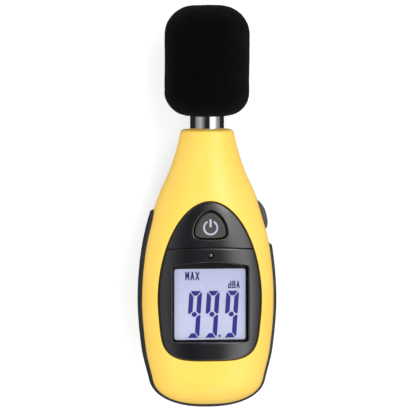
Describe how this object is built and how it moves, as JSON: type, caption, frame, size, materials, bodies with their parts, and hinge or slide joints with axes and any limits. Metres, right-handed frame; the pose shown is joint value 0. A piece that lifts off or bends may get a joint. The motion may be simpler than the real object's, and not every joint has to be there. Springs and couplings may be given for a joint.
{
  "type": "sound level meter",
  "caption": "Handheld sound level meter: two-shell case with a rubber grip band, egg-shaped display bezel, keys, and a microphone under a foam windscreen.",
  "frame": {"origin": "the middle of the bounding box's lowest face: the meter lies on its flat back, halfway along its length", "axes": "+Z out of the display, +Y towards the windscreen, +X to the right of someone reading the display"},
  "size_m": [0.0708, 0.205, 0.0496],
  "materials": {
    "yellow_shell": "satin moulded ABS",
    "dark_shell": "fine textured ABS",
    "grip_rubber": "soft matt elastomer",
    "key_rubber": "matt silicone with a printed power sign",
    "windscreen_foam": "open-cell foam",
    "chrome": "polished",
    "steel": "zinc plated",
    "brass": "plain",
    "window_acrylic": "clear, hard coated",
    "lcd": "polariser film over glass",
    "light_guide": "frosted acrylic",
    "white_plastic": "plain",
    "board": "green solder mask on glass epoxy",
    "chip": "moulded epoxy",
    "zebra_rubber": "striped silicone",
    "amber_lens": "clear, tinted",
    "capacitor_sleeve": "shrunk film",
    "trimmer_blue": "plain",
    "battery_jacket": "printed metal film over cells",
    "red_wire": "PVC jacket",
    "black_wire": "PVC jacket",
    "grey_wire": "PVC jacket",
    "pad_foam": "closed-cell foam"
  },
  "bodies": {
    "case": {"front_case": "yellow_shell", "rear_case": "dark_shell", "display_bezel": "dark_shell", "grip_band": "grip_rubber", "mic_tube": "chrome", "capsule_grid": "chrome", "mic_capsule": "brass", "capsule_boot": "key_rubber", "preamp_board": "board", "mic_lead": "grey_wire", "mic_header": "white_plastic", "display_window": "window_acrylic", "lcd_panel": "lcd", "lcd_bracket": "white_plastic", "backlight_panel": "light_guide", "zebra_strip": "zebra_rubber", "power_switch_base": "chip", "side_switch_base": "chip", "light_pipe": "amber_lens", "light_sensor": "light_guide", "main_board": "board", "controller_chip": "chip", "amplifier_chip": "chip", "timing_crystal": "steel", "capacitor_1": "capacitor_sleeve", "capacitor_2": "capacitor_sleeve", "trimmer_base": "trimmer_blue", "battery_9v": "battery_jacket", "battery_snap": "chip", "battery_lead_red": "red_wire", "battery_lead_black": "black_wire", "case_screw_1": "steel", "board_screw_1": "steel", "case_screw_2": "steel", "board_screw_2": "steel", "case_screw_3": "steel", "board_screw_3": "steel", "case_screw_4": "steel", "board_screw_4": "steel"},
    "windscreen": {"windscreen": "windscreen_foam"},
    "power_key": {"power_key": "key_rubber", "power_switch_plunger": "white_plastic"},
    "side_key": {"side_key": "key_rubber", "side_switch_plunger": "white_plastic"},
    "battery_door": {"battery_door": "dark_shell", "battery_pad": "pad_foam"},
    "trimmer": {"trimmer_rotor": "brass"}
  },
  "joints": [
    {"name": "windscreen_pull", "type": "slide", "parent": "case", "child": "windscreen", "axis": [0, 1, 0], "range_m": [0, 0.045]},
    {"name": "power_key_press", "type": "slide", "parent": "case", "child": "power_key", "axis": [0, 0, -1], "range_m": [0, 0.0008], "stiffness_N_per_m": 1500, "springref_m": -0.0005},
    {"name": "side_key_press", "type": "slide", "parent": "case", "child": "side_key", "axis": [-1, 0, 0], "range_m": [0, 0.0008], "stiffness_N_per_m": 1500, "springref_m": -0.0005},
    {"name": "battery_door_slide", "type": "slide", "parent": "case", "child": "battery_door", "axis": [0, -1, 0], "range_m": [0, 0.08]},
    {"name": "trimmer_turn", "type": "hinge", "parent": "case", "child": "trimmer", "pos_m": [0.009, -0.0465, 0.0279], "axis": [0, 0, -1], "range_deg": [-130, 130]}
  ]
}
